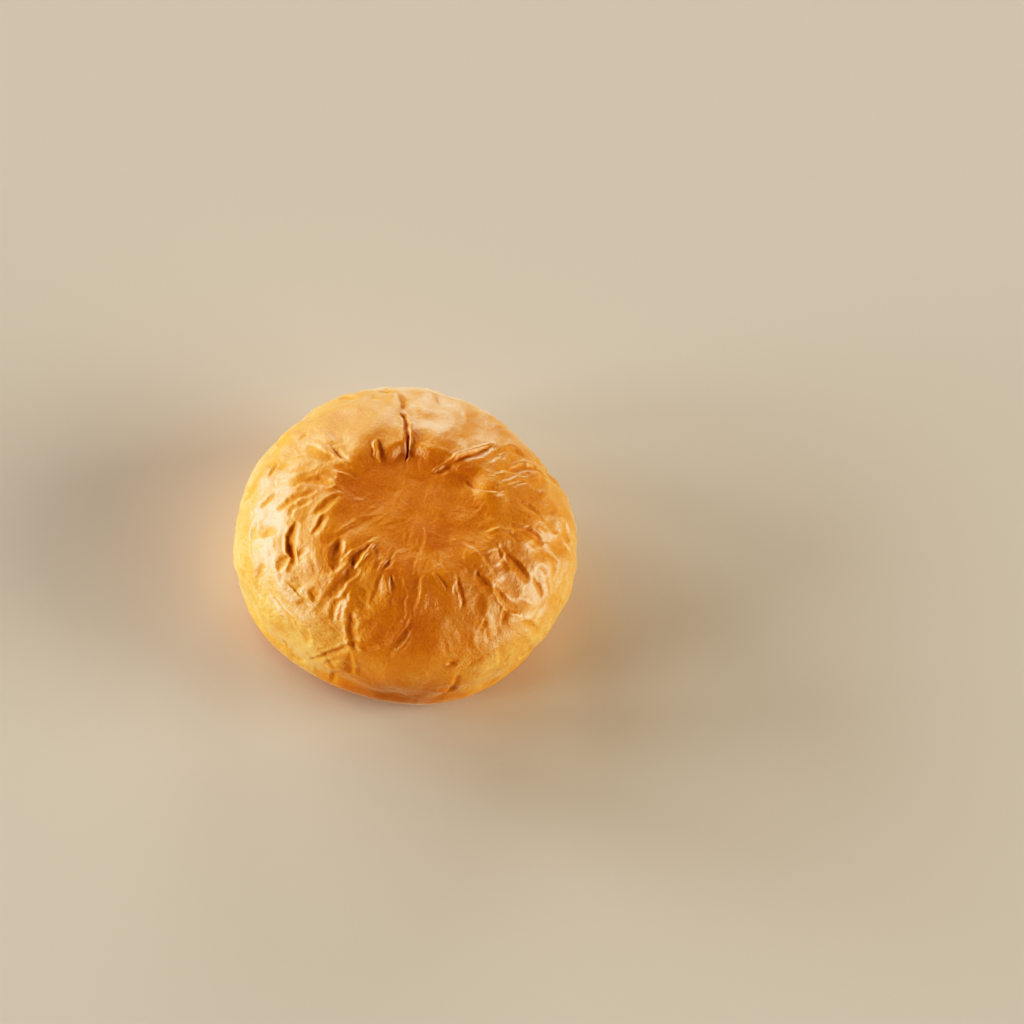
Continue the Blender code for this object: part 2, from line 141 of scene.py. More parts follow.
Fold = namedtuple("Fold", "azimuth reach end_azimuth end_reach bow width depth kind")
FOLDS = (
    # back: the split, out of the press and over the rim
    Fold(108, 41.8, 111, 30.6, -0.7, 0.9, 0.6, TROUGH),
    Fold(111, 31.1, 120, 10.2, -2.2, 0.65, 1.0, SPLIT),
    # left of it: a facet with a hollow, and a short fold
    Fold(140, 21.2, 149, 14.3, 0.4, 1.2, 0.8, TROUGH),
    Fold(142, 22.2, 156, 16.1, -0.2, 0.8, -0.6, RIDGE),
    Fold(162, 31.6, 173, 22.6, 0.4, 0.8, 0.6, CREASE),
    Fold(154, 38.2, 159, 32.0, -0.1, 1.2, -0.35, RIDGE),
    # right of it: two deep folds, a twisted ridge and an arc
    Fold(71, 7.0, 53, 31.9, 2.5, 1.0, 1.2, CREASE),
    Fold(29, 15.2, 17, 26.4, 3.2, 1.2, 0.9, CREASE),
    Fold(20, 23.6, 29, 36.4, -1.0, 0.9, -0.5, RIDGE),
    Fold(21, 26.6, 26, 36.1, -0.2, 0.5, 0.4, CREASE),
    Fold(32, 30.4, 32, 47.2, -3.2, 1.1, 0.8, TROUGH),
    Fold(47, 28.6, 49, 38.9, 0.3, 0.5, 0.25, CREASE),
    Fold(35, 48.9, 30, 52.7, -0.7, 1.6, -0.7, RIDGE),
    # left of the press
    Fold(189, 35.0, 193, 25.6, -1.5, 1.6, 0.8, TROUGH),
    Fold(191, 34.4, 204, 22.9, -1.9, 0.5, -0.4, RIDGE),
    Fold(180, 26.5, 183, 18.3, -0.4, 1.3, 0.8, TROUGH),
    Fold(182, 26.9, 191, 19.7, -0.5, 0.5, -0.35, RIDGE),
    # leaf-shaped hollows down the left
    Fold(192, 44.0, 196, 49.3, -0.6, 0.9, 0.5, TROUGH),
    Fold(197, 30.4, 201, 43.0, -0.1, 1.1, 0.6, TROUGH),
    Fold(202, 24.2, 211, 33.6, -0.3, 1.2, 0.6, TROUGH),
    Fold(213, 29.6, 220, 36.0, -0.5, 1.0, 0.5, TROUGH),
    Fold(210, 38.1, 223, 44.5, 0.7, 1.3, 0.75, TROUGH),
    Fold(209, 46.5, 209, 50.1, -0.0, 0.8, 0.4, TROUGH),
    Fold(157, 40.9, 163, 43.9, -0.0, 0.8, 0.3, TROUGH),
    Fold(159, 53.1, 165, 52.6, -0.1, 0.7, 0.3, TROUGH),
    Fold(175, 45.8, 183, 47.1, -0.3, 0.8, 0.35, TROUGH),
    Fold(177, 42.0, 182, 44.2, 0.1, 0.7, 0.3, CREASE),
    Fold(200, 51.9, 207, 54.9, -0.2, 0.8, 0.3, TROUGH),
    Fold(218, 53.0, 222, 61.0, -0.1, 1.0, 0.5, TROUGH),
    Fold(222, 45.0, 224, 50.7, -0.1, 1.1, 0.8, TROUGH),
    Fold(219, 41.5, 227, 45.4, -0.0, 0.9, 0.7, TROUGH),
    Fold(226, 56.4, 245, 63.5, -1.3, 0.8, 0.4, CREASE),
    Fold(229, 50.4, 239, 50.4, 0.2, 0.5, 0.3, CREASE),
    Fold(238, 46.8, 242, 49.8, -0.3, 1.4, 0.5, TROUGH),
    # pinch over the press's lower left edge, and the hollow below it
    Fold(247, 24.6, 247, 35.4, -0.0, 0.9, 0.7, CREASE),
    Fold(250, 22.9, 249, 31.3, 0.5, 0.7, -0.4, RIDGE),
    Fold(251, 34.6, 248, 46.0, 1.4, 1.5, 0.8, TROUGH),
    Fold(245, 33.6, 245, 43.5, 0.4, 1.0, -0.6, RIDGE),
    Fold(251, 40.5, 254, 51.0, -0.5, 0.9, -0.5, RIDGE),
    Fold(251, 44.6, 251, 51.5, 0.4, 1.1, 0.4, TROUGH),
    # pinched star in the front and its arms
    Fold(260, 55.1, 262, 57.0, 0.2, 1.0, 0.8, SPLIT),
    Fold(260, 56.3, 248, 72.5, 0.7, 0.7, 0.8, CREASE),
    Fold(256, 47.0, 260, 55.0, -0.0, 1.3, 0.7, TROUGH),
    Fold(262, 56.5, 270, 54.5, 0.3, 1.0, 0.7, TROUGH),
    Fold(261, 59.5, 264, 69.3, -0.0, 1.3, 0.8, TROUGH),
    Fold(249, 52.5, 258, 55.0, 0.1, 0.5, 0.25, CREASE),
    Fold(256, 70.5, 256, 81.7, 0.0, 0.9, 0.5, TROUGH),
    # down the front
    Fold(279, 26.5, 277, 45.4, -1.6, 2.2, 0.5, TROUGH),
    Fold(280, 41.0, 274, 53.9, -0.7, 1.2, 0.6, TROUGH),
    Fold(280, 46.9, 274, 56.1, -1.3, 0.7, -0.5, RIDGE),
    Fold(277, 35.6, 275, 46.6, -0.6, 0.8, -0.45, RIDGE),
    Fold(266, 32.0, 269, 40.4, 0.0, 1.0, -0.5, RIDGE),
    Fold(292, 30.1, 296, 35.0, -0.1, 0.9, 0.5, CREASE),
    Fold(292, 48.0, 296, 54.5, -0.1, 0.5, -0.25, RIDGE),
    Fold(294, 56.9, 298, 57.7, 0.3, 1.0, 1.0, SPLIT),
    Fold(298, 62.3, 296, 74.7, -0.4, 1.2, 0.6, TROUGH),
    Fold(312, 57.1, 300, 60.3, 0.9, 0.9, 0.35, TROUGH),
    # forked hollows down the right front
    Fold(337, 33.4, 336, 45.0, -0.1, 1.5, 0.8, TROUGH),
    Fold(336, 29.2, 333, 37.0, -0.3, 0.6, -0.4, RIDGE),
    Fold(319, 38.4, 325, 50.0, 1.4, 1.4, 0.9, TROUGH),
    Fold(320, 45.0, 316, 50.0, -0.2, 1.0, 0.5, TROUGH),
    Fold(315, 32.5, 318, 39.0, 0.6, 1.5, 0.8, TROUGH),
    Fold(302, 32.0, 302, 41.0, -0.1, 0.8, 0.5, TROUGH),
    Fold(339, 44.6, 337, 52.0, -0.5, 0.9, 0.4, TROUGH),
    Fold(324, 52.1, 331, 62.5, -1.0, 1.2, 0.5, TROUGH),
    Fold(310, 46.1, 306, 49.0, 0.2, 0.9, 0.35, TROUGH),
    # right of the press
    Fold(353, 30.0, 356, 42.4, -0.5, 1.2, 0.9, TROUGH),
    Fold(338, 23.8, 348, 26.8, -0.5, 0.8, 0.6, CREASE),
    Fold(336, 25.1, 350, 35.2, -2.2, 0.5, -0.35, RIDGE),
    Fold(316, 27.0, 335, 30.4, -0.6, 0.6, -0.4, RIDGE),
    Fold(335, 30.4, 333, 35.6, -0.9, 0.6, -0.35, RIDGE),
    Fold(349, 19.4, 2, 19.8, -0.4, 0.6, -0.4, RIDGE),
    Fold(11, 30.4, 6, 40.6, -0.4, 1.0, 0.4, TROUGH),
)
FOLD_TAPER = 0.6
FOLD_LEAN = 0.45              # how much steeper than the middle one flank is, and gentler the other
LEAN_PATCH = 9.0 * MM         # of the stretches whose folds lean the same way
FOLD_POINT = 0.5              # how much narrower than its middle a fold is at its ends
LIP_PLACE = 1.9               # how far from its line a fold's lip stands, in widths
LIP_WIDTH = 0.8
FOLD_MARGIN = 6.0             # how far round its line a fold is worked out, in widths
DEEPEST = 1.3 * MM            # where folds and dents meet, they don't go much deeper than this
FOLD_STEPS = 14
DENT_BOW = 0.3                # how far a dent may bow, as a share of half its length

# Seeded dents, larger ones first, in mm. Their heading is an angle from the outward way.
Dents = namedtuple("Dents", "count seed length width depth reach heading spread kind")
DENT_SETS = (
    Dents(84, 7, (6.0, 12.0), (1.3, 2.2), (0.34, 0.68), (27.0, 77.0), 15.0, 25.0, TROUGH),
    Dents(170, 3, (3.0, 7.0), (0.7, 1.2), (0.16, 0.40), (25.0, 79.0), 15.0, 30.0, TROUGH),
    Dents(260, 11, (2.0, 6.0), (0.5, 0.9), (0.04, 0.12), (20.0, 78.0), 15.0, 60.0, CREASE),
    Dents(46, 23, (3.0, 8.0), (0.6, 1.1), (0.06, 0.20), (4.0, 26.0), 0.0, 40.0, CREASE),
    Dents(36, 17, (5.0, 10.0), (0.6, 1.1), (0.15, 0.40), (61.0, 72.0), 0.0, 18.0, CREASE),
    Dents(60, 19, (3.0, 8.0), (0.4, 0.8), (0.06, 0.18), (73.0, 80.0), 0.0, 12.0, CREASE),
)

# Calm stretches of the crust, where the dents flatten out
Calm = namedtuple("Calm", "azimuth reach radius keep")
CALMS = (
    Calm(85, 32, 21.0, 0.12),
    Calm(136, 36, 15.0, 0.20),
    Calm(195, 42, 20.0, 0.75),
    Calm(238, 50, 18.0, 0.70),
    Calm(282, 54, 17.0, 0.20),
    Calm(325, 46, 18.0, 0.55),
    Calm(15, 42, 18.0, 0.55),
)
CALM_EDGE = (0.6, 1.3)        # where a stretch's calm ends, in radii

# Net of creases between long plateaus, deep in some stretches and faint in others
NET_AROUND = 0.6 * RADIUS     # of the cylinder on which the net is laid out
NET_SIZE = 5.6 * MM           # of a plateau, round the bun
NET_STRETCH = 1.7             # how much longer it is than wide
NET_WIDTH = 0.22              # of a crease, as a share of the plateau
NET_DEPTH = 0.36 * MM
NET_PATCH = 13.0 * MM         # of the stretches where it is deep
NET_FAINTEST = 0.1            # share of the depth that is left between them
NET_START = 22.0 * MM         # reach at which it begins

# Wandering of every fold and dent: the crust is read a little off its place
Wander = namedtuple("Wander", "size reach")
WANDERS = (Wander(5.0 * MM, 0.8 * MM), Wander(1.8 * MM, 0.35 * MM))
# Where in the noise each axis of the wandering is read
WANDER_AXES = (Vector((3.1, 17.7, -8.3)), Vector((31.4, -5.9, 12.6)), Vector((-21.2, 9.5, 27.8)))

CRINKLE_SIZE = 2.4 * MM       # fine puckering between the folds
CRINKLE_HEIGHT = 0.09 * MM
CRINKLE_LEVEL = 0.4           # level of the puckering that is taken off
CRINKLE_EDGE = 0.7            # less makes its hollows sharper

# Depths that the paint goes by: deeper places get painted shade
CREASE_SHADE_FULL = 1.2 * MM        # where the painted shade in a crease is full
SUNK_BAND = (0.08 * MM, 0.40 * MM)    # over which the glaze gives way and the painted shade in hollows comes in
CREASE_SHADE_IN_PRESS = 0.4         # share of the painted crease shade that is left in the press

# ---------------------------------------------------------------- paint of the crust

# Noises that vary the browning, by their size and share, and that roughen the skin
BLOTCH_SIZE, BLOTCH_SHARE = 14.0 * MM, 0.7
MOTTLE_SIZE, MOTTLE_SHARE = 2.2 * MM, 0.5
SPECKLE_SIZE, SPECKLE_SHARE = 0.7 * MM, 0.7
GRAIN_SIZE, GRAIN_HEIGHT = 0.9 * MM, 0.28 * MM
PORE_SIZE, PORE_HEIGHT = 0.35 * MM, 0.10 * MM

# Heights, and distances towards the front, over which something grows, in metres
TOP_BAND = (0.020, 0.044)
LOW_BAND = (0.012, 0.028)
HEEL_BAND = (0.004, 0.016)
UNDERSIDE_BAND = (0.0, 0.003)
GLAZE_BAND = (0.006, 0.026)
# The two distances towards the front set where the painted shade at the front comes in
FRONT_BAND = (0.020, 0.050)
LOW_FRONT_SHADE_BAND = (0.038, 0.051)
FRONT_SHIFT = 0.009           # how far right of the middle the painted shade at the front lies
FRONT_CURVE = 30.0            # how fast it ends to both sides

# Browning, from 0 for pale over a half for golden to 1 for brown; some shares below are painted light
# as well
BROWN_LEAST = 0.15
# Browner towards the top as baked; the paler crust this leaves low on the sides is also a painted
# sheen at the rims
TOP_BROWNING_AND_RIM_SHEEN = 0.42
BROWN_PRESS = 0.14
BROWN_HEEL = 0.15
# Painted shade: darker towards the front, most of all low down
FRONT_PAINTED_SHADE = 0.25
FRONT_LOW_PAINTED_SHADE = 0.3
GOLDEN_BAND = (0.0, 0.5)
BROWN_BAND = (0.45, 1.0)

# Shares of the other colours where their place is full
# Painted shade in hollows and creases, towards the crease colour
SUNK_SHADE_TINT = 0.25
CREASE_SHADE_TINT = 0.35
PAN_LINE_TINT = 0.6
# Painted shade, darkest low down at the front
LOW_FRONT_SHADE_TINT = 0.6
UNDERSIDE_TINT = 0.7

CRUST_ROUGHNESS = 0.42
MOTTLE_ROUGHNESS = 0.25
SUNK_ROUGHNESS = 0.22
SUNK_MATTNESS = 0.85          # share of the glaze that is lost in the folds
FRONT_MATTNESS = 0.9          # and low down at the front
GLAZE_ROUGHNESS = 0.40
CRUST_IOR = 1.45
SHEEN_ROUGHNESS = 0.30
SHEEN_TINT = (1.0, 0.88, 0.66, 1.0)

# ---------------------------------------------------------------- floor and lamps

FLOOR_HALF = 15.0             # metres, half the floor's width
FLOOR_ROUGHNESS = 0.9
FLOOR_SPECULAR = 0.2

# Far soft lamps, with their angles in degrees. Each takes a share of the studio's light of its name.
Lamp = namedtuple("Lamp", "name azimuth elevation spread share colour")
WHITE = (1.0, 1.0, 1.0)
LAMPS = (
    Lamp("key", 164.0, 11.0, 20.0, 1.0, WHITE),
    Lamp("key", 188.0, 11.0, 20.0, 1.0, WHITE),
    Lamp("key", 212.0, 11.0, 20.0, 1.0, WHITE),
    Lamp("side", 10.0, 16.0, 32.0, 1.1, (1.0, 0.93, 0.80)),
    Lamp("side", -16.0, 16.0, 32.0, 0.40, (1.0, 0.93, 0.80)),
    Lamp("back", 92.0, 12.0, 22.0, 1.0, (1.0, 0.95, 0.85)),
    Lamp("fill", 137.0, 20.0, 40.0, 1.0, WHITE),
)

# ---------------------------------------------------------------- photograph's frame

FRAME_PIXELS = 1024.0
MIDDLE_PIXEL = Vector((410.4, 531.0))     # where the middle of the bun shows
MIDDLE_HEIGHT = 24.0 * MM
CAMERA_ELEVATION = 54.4
CAMERA_ROLL = 14.1
CAMERA_DISTANCE = 794.0 * MM
CAMERA_LENS = 91.4                        # mm, on a 36 mm sensor
SENSOR_WIDTH = 36.0

# Tone curve of the photograph: more contrast means darker darks, less shoulder brighter lights
TONE_CONTRAST = 1.7
TONE_SHOULDER = 0.28
TONE_POINTS = 12


def smooth_step(low, high, value):
    """0 below low, 1 above high and an S-curve between them."""
    share = np.clip((value - low) / (high - low), 0.0, 1.0)
    return share * share * (3.0 - 2.0 * share)


def crown_point(turn):
    """Radius and height of the crown's section, for a turn from 0 at its edge to pi/2 on top."""
    power = 2.0 / CROWN_FULLNESS
    radius = RADIUS * max(math.cos(turn), 0.0) ** power
    height = WIDEST_HEIGHT + CROWN_RISE * math.sin(turn) ** power
    return radius, height


def crown_height(radius):
    """Height of the smooth crown over a plan radius."""
    share = np.clip(radius / RADIUS, 0.0, 1.0) ** CROWN_FULLNESS
    return WIDEST_HEIGHT + CROWN_RISE * (1.0 - share) ** (1.0 / CROWN_FULLNESS)


def section(base_rows, edge_rows, side_rows, crown_rows):
    """The bun's half section as (radius, height), from the underside's middle to the top."""
    points = [(BASE_RADIUS * row / base_rows, 0.0) for row in range(base_rows + 1)]
    for row in range(1, edge_rows + 1):
        turn = 0.5 * math.pi * row / edge_rows
        radius = BASE_RADIUS + (HEEL_RADIUS - BASE_RADIUS) * math.sin(turn)
        points.append((radius, HEEL_EDGE * (1.0 - math.cos(turn))))
    for row in range(1, side_rows + 1):
        share = row / side_rows
        radius = HEEL_RADIUS + (RADIUS - HEEL_RADIUS) * float(smooth_step(0.0, 1.0, share))
        points.append((radius, HEEL_EDGE + (WIDEST_HEIGHT - HEEL_EDGE) * share))
    points += [crown_point(0.5 * math.pi * row / crown_rows) for row in range(1, crown_rows)]
    points.append((0.0, WIDEST_HEIGHT + CROWN_RISE))
    return points


def outline(azimuth):
    """Share of the plan radius that the uneven outline takes at an azimuth in radians."""
    share = np.ones_like(azimuth)
    for swell in SWELLS:
        share = share + swell.share * np.cos(swell.lobes * (azimuth - math.radians(swell.azimuth)))
    return share


def mesh_places(mesh):
    """The places of a bmesh's points as rows."""
    return np.array([tuple(vert.co) for vert in mesh.verts])


def turned_bun():
    """Spins the section into a closed mesh whose rows ring the press at the top."""
    mesh = bmesh.new()
    points = section(BASE_ROWS, EDGE_ROWS, SIDE_ROWS, CROWN_ROWS)
    row = [mesh.verts.new((radius, 0.0, height)) for radius, height in points]
    edges = [mesh.edges.new(pair) for pair in zip(row, row[1:])]
    bmesh.ops.spin(mesh, geom=row + edges, cent=(0, 0, 0), axis=(0, 0, 1), angle=math.tau,
                   steps=COLUMNS, use_duplicate=False)
    bmesh.ops.remove_doubles(mesh, verts=mesh.verts, dist=MERGE_GAP)
    places = mesh_places(mesh)
    radius = np.hypot(places[:, 0], places[:, 1])
    on_crown = places[:, 2] > WIDEST_HEIGHT
    slide = (1.0 - smooth_step(PRESS_RADIUS + PRESS_WALL, RADIUS, radius)) * on_crown
    places[:, 0] += PRESS_CENTRE.x * slide
    places[:, 1] += PRESS_CENTRE.y * slide
    height = crown_height(np.hypot(places[:, 0], places[:, 1]))
    places[:, 2] = np.where(on_crown, height, places[:, 2])
    places[:, :2] *= outline(np.arctan2(places[:, 1], places[:, 0]))[:, None]
    for vert, place in zip(mesh.verts, places):
        vert.co = place
    bmesh.ops.recalc_face_normals(mesh, faces=mesh.faces)
    mesh.normal_update()
    return mesh


class Crust:
    """The smooth crust under the relief: finds places on it by azimuth and reach."""

    def __init__(self):
        points = np.array(section(*GUIDE_ROWS))[::-1]
        steps = np.hypot(*np.diff(points, axis=0).T)
        self.reach = np.concatenate([[0.0], np.cumsum(steps)])
        self.radius = points[:, 0]
        self.height = points[:, 1]

    def place(self, azimuth, reach):
        """Point on the smooth crust at an azimuth in degrees and a reach in metres."""
        angle = math.radians(azimuth)
        radius = float(np.interp(reach, self.reach, self.radius)) * float(outline(np.array(angle)))
        height = float(np.interp(reach, self.reach, self.height))
        return Vector((radius * math.cos(angle), radius * math.sin(angle), height))

    def polar(self, places):
        """Azimuth in radians and reach in metres of many places near the crust."""
        azimuth = np.arctan2(places[:, 1], places[:, 0])
        radius = np.hypot(places[:, 0], places[:, 1]) / outline(azimuth)
        crown = self.height >= WIDEST_HEIGHT
        on_crown = np.interp(radius, self.radius[crown], self.reach[crown])
        on_side = np.interp(-places[:, 2], -self.height, self.reach)
        return azimuth, np.where(places[:, 2] > WIDEST_HEIGHT, on_crown, on_side)

    def ways(self, azimuth, reach):
        """Unit vectors outwards and round, along the crust at a place."""
        middle = self.place(azimuth, reach)
        outward = (self.place(azimuth, reach + MM) - middle).normalized()
        round_way = Vector((0, 0, 1)).cross(Vector((middle.x, middle.y, 0.0))).normalized()
        return outward, round_way


def fold_line(crust, fold):
    """The fold's centre line: points from end to end over the crust, bowed sideways."""
    turn = (fold.end_azimuth - fold.azimuth + 180.0) % 360.0 - 180.0
    across = crust.place(fold.azimuth + 0.5 * turn, 0.5 * (fold.reach + fold.end_reach) * MM)
    start = crust.place(fold.azimuth, fold.reach * MM)
    end = crust.place(fold.end_azimuth, fold.end_reach * MM)
    side = (end - start).cross(across - Vector((0, 0, WIDEST_HEIGHT))).normalized()
    line = []
    for step in range(FOLD_STEPS + 1):
        share = step / FOLD_STEPS
        reach = (fold.reach + (fold.end_reach - fold.reach) * share) * MM
        place = crust.place(fold.azimuth + turn * share, reach)
        line.append(place + side * (4.0 * share * (1.0 - share) * fold.bow * MM))
    return np.array([tuple(point) for point in line])


def along_line(places, line, outward):
    """Each place's distance to a line of points, its side of the line, and its share along it."""
    best = np.full(len(places), np.inf)
    along = np.zeros(len(places))
    side = np.zeros(len(places))
    for index, (start, end) in enumerate(zip(line, line[1:])):
        span = end - start
        share = np.clip((places - start) @ span / (span @ span), 0.0, 1.0)
        gap = np.linalg.norm(places - start - share[:, None] * span, axis=1)
        closer = gap < best
        best = np.where(closer, gap, best)
        along = np.where(closer, (index + share) / (len(line) - 1), along)
        side = np.where(closer, np.sign((places - start) @ np.cross(span, outward)), side)
    return best, side, along


def add_valley(relief, places, line, width, depth, kind):
    """Sinks the relief into a valley along a line: a steep flank with a lip faces a gentle one."""
    middle = line.mean(axis=0)
    spread = np.linalg.norm(line - middle, axis=1).max() + FOLD_MARGIN * width
    near = np.flatnonzero(np.linalg.norm(places - middle, axis=1) < spread)
    outward = middle - np.array((0.0, 0.0, 0.5 * WIDEST_HEIGHT))
    gap, side, along = along_line(places[near], line, outward)
    taper = np.clip(4.0 * along * (1.0 - along), 0.0, 1.0) ** FOLD_TAPER
    lean = FOLD_LEAN * side * (1.0 if noise.noise(Vector(middle) / LEAN_PATCH) > 0.0 else -1.0)
    across = gap / (width * (1.0 - lean) * (1.0 - FOLD_POINT + FOLD_POINT * taper))
    lips = kind.lip * (1.0 + lean) * np.exp(-((across - LIP_PLACE) / LIP_WIDTH) ** 2)
    relief[near] += depth * taper * (lips - np.exp(-across ** kind.sharpness))


def add_dents(relief, places, crust, dents):
    """Sinks one set of seeded dents into the relief."""
    draw = random.Random(dents.seed)
    for _ in range(dents.count):
        azimuth = draw.uniform(0.0, 360.0)
        reach = draw.uniform(*dents.reach) * MM
        outward, round_way = crust.ways(azimuth, reach)
        heading = math.radians(draw.gauss(dents.heading, dents.spread))
        way = outward * math.cos(heading) + round_way * math.sin(heading)
        side = outward * math.sin(heading) - round_way * math.cos(heading)
        half = 0.5 * draw.uniform(*dents.length) * MM
        bow = draw.uniform(-DENT_BOW, DENT_BOW) * half
        middle = crust.place(azimuth, reach)
        line = [middle + way * half * t + side * bow * (1.0 - t * t) for t in (-1, -0.5, 0, 0.5, 1)]
        width = draw.uniform(*dents.width) * MM
        depth = draw.uniform(*dents.depth) * MM
        add_valley(relief, places, np.array([tuple(p) for p in line]), width, depth, dents.kind)


def add_pinches(relief, places):
    """Folds the crust along the spokes of the press, across its edge."""
    draw = random.Random(PINCH_SEED)
    for spoke in range(PINCH_COUNT):
        azimuth = math.tau * (spoke + draw.uniform(-PINCH_TURN, PINCH_TURN)) / PINCH_COUNT
        lean = draw.gauss(0.0, PINCH_LEAN)
        inner = PRESS_RADIUS * draw.uniform(*PINCH_INNER)
        outer = PRESS_RADIUS * draw.uniform(*PINCH_OUTER)
        line = []
        for share in (0.0, 0.33, 0.67, 1.0):
            away = inner + (outer - inner) * share
            turn = azimuth + lean * share
            spot = PRESS_CENTRE + away * Vector((math.cos(turn), math.sin(turn)))
            line.append((spot.x, spot.y, float(crown_height(spot.length))))
        width = draw.uniform(*PINCH_WIDTH) * MM
        depth = draw.uniform(*PINCH_DEPTH) * MM * draw.choice(PINCH_WAYS)
        depth *= 1.0 - PINCH_FADE * float(smooth_step(*PINCH_BACK, math.sin(azimuth)))
        add_valley(relief, places, np.array(line), width, depth, CREASE)


def crease_net(places, crust):
    """Depth of the net of creases: long plateaus along the way down, with sharp edges."""
    azimuth, reach = crust.polar(places)
    net = []
    for angle, far, place in zip(azimuth, reach, map(Vector, places)):
        spot = Vector((NET_AROUND * math.cos(angle), NET_AROUND * math.sin(angle), far / NET_STRETCH))
        near, second = noise.voronoi(spot / NET_SIZE)[0][:2]
        share = min(max(0.5 + 1.2 * noise.noise(place / NET_PATCH), NET_FAINTEST), 1.0)
        net.append(math.exp(-((second - near) / NET_WIDTH) ** 1.5) * share)
    return NET_DEPTH * np.array(net) * smooth_step(NET_START, 1.5 * NET_START, reach)


def calm_share(places, crust):
    """Share of the dents' depth that is left at each place."""
    share = np.ones(len(places))
    for calm in CALMS:
        away = np.linalg.norm(places - np.array(crust.place(calm.azimuth, calm.reach * MM)), axis=1)
        share *= calm.keep + (1.0 - calm.keep) * smooth_step(*CALM_EDGE, away / (calm.radius * MM))
    return share


def wander(places):
    """The places, each read a little off itself, so that folds get uneven edges."""
    moved = []
    for place in map(Vector, places):
        shift = Vector()
        for step in WANDERS:
            spot = place / step.size
            shift += Vector([noise.noise(spot + axis) for axis in WANDER_AXES]) * step.reach
        moved.append(tuple(place + shift))
    return np.array(moved)


def crinkles(places):
    """Fine puckering: rounded pillows with sharp hollows between them."""
    pucker = [abs(noise.noise(Vector(place) / CRINKLE_SIZE)) ** CRINKLE_EDGE for place in places]
    return CRINKLE_HEIGHT * (np.array(pucker) - CRINKLE_LEVEL)


def crust_relief(places):
    """Outward movement of each place of the crust, as slow lumps and as folds and dents."""
    crust = Crust()
    lumps = sum(lump.height * np.array([noise.noise(Vector(place) / lump.size) for place in places])
                for lump in LUMPS)
    read = wander(places)
    relief = -crease_net(read, crust)
    for dents in DENT_SETS:
        add_dents(relief, read, crust, dents)
    relief *= calm_share(places, crust)
    for fold in FOLDS:
        add_valley(relief, read, fold_line(crust, fold), fold.width * MM, fold.depth * MM, fold.kind)
    add_pinches(relief, read)
    relief = np.where(relief < 0.0, DEEPEST * np.tanh(relief / DEEPEST), relief)
    return lumps + crinkles(read), relief


def pan_line(places):
    """How deep each place lies under the crown's wavy lower edge, 0 to 1."""
    azimuth = np.arctan2(places[:, 1], places[:, 0])
    wave = np.cos(2.0 * azimuth) + 0.6 * np.sin(5.0 * azimuth + 2.0)
    wave = wave + 0.4 * np.sin(11.0 * azimuth + 1.0)
    rise = places[:, 2] - PAN_LINE_HEIGHT - PAN_LINE_WAVE * wave
    strength = 1.0 - (1.0 - PAN_LINE_FRONT) * smooth_step(*PAN_LINE_FADE, -np.sin(azimuth))
    above = np.exp(-(np.maximum(rise, 0.0) / PAN_LINE_ABOVE) ** 2)
    below = np.exp(-(np.maximum(-rise, 0.0) / PAN_LINE_BELOW) ** 1.5)
    return strength * above * below


def press_share(places):
    """1 on the floor of the press, 0 outside it, and an S-curve down its wall."""
    across = places[:, 0] - PRESS_CENTRE.x
    back = places[:, 1] - PRESS_CENTRE.y
    azimuth = np.arctan2(back, across)
    sway = np.sin(7.0 * azimuth + 1.0) + 0.7 * np.sin(12.0 * azimuth + 4.0)
    gap = np.hypot(across, back) - PRESS_RADIUS - 0.5 * PRESS_SWAY * sway
    steep = smooth_step(*PRESS_STEEP, np.sin(azimuth))
    wall = PRESS_WALL_FRONT + (PRESS_WALL - PRESS_WALL_FRONT) * steep
    inside = 1.0 - smooth_step(-PRESS_INSET, 1.0 - PRESS_INSET, gap / wall)
    return inside * (places[:, 2] > WIDEST_HEIGHT)


def shape_crust(mesh):
    """Moves the turned mesh's points to the wrinkled crust and returns what the paint needs."""
    places = mesh_places(mesh)
    normals = np.array([tuple(vert.normal) for vert in mesh.verts])
    lumps, relief = crust_relief(places)
    above_edge = smooth_step(RELIEF_START, HEEL_EDGE, places[:, 2])
    moved = places + normals * ((lumps + relief) * above_edge)[:, None]
    line = pan_line(places)
    moved[:, :2] -= normals[:, :2] * (PAN_LINE_DEPTH * line * above_edge)[:, None]
    pressed = press_share(places)
    plane = PRESS_FLOOR + PRESS_TILT * (places[:, 1] - PRESS_CENTRE.y)
    floor = np.minimum(moved[:, 2], plane + PRESS_KEEP * (lumps + relief))
    moved[:, 2] += pressed * (floor - moved[:, 2])
    moved[places[:, 2] < ON_TABLE, 2] = 0.0
    for vert, place in zip(mesh.verts, moved):
        vert.co = place
    return {
        # Painted shade: darker colour the deeper a place lies in a fold
        "crease_shade": np.clip(-relief / CREASE_SHADE_FULL, 0.0, 1.0) * (1.0 - (1.0 - CREASE_SHADE_IN_PRESS) * pressed),
        "sunk": smooth_step(*SUNK_BAND, -relief),
        "pressed": pressed,
        "pan_line": line,
    }


def fit_to_node(mesh):
    """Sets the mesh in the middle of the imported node's box, no larger than the box."""
    places = mesh_places(mesh)
    low = Vector(places.min(axis=0))
    high = Vector(places.max(axis=0))
    box = NODE_HIGH - NODE_LOW
    size = high - low
    share = min(1.0, *(box[axis] / size[axis] for axis in range(3)))
    middle = (low + high) / 2.0
    target = (NODE_LOW + NODE_HIGH) / 2.0
    shift = Vector((target.x - share * middle.x, target.y - share * middle.y,
                    NODE_LOW.z - share * low.z))
    matrix = Matrix.Translation(shift) @ Matrix.Scale(share, 4)
    bmesh.ops.transform(mesh, matrix=matrix, verts=mesh.verts)


# ---------------------------------------------------------------- shader helpers


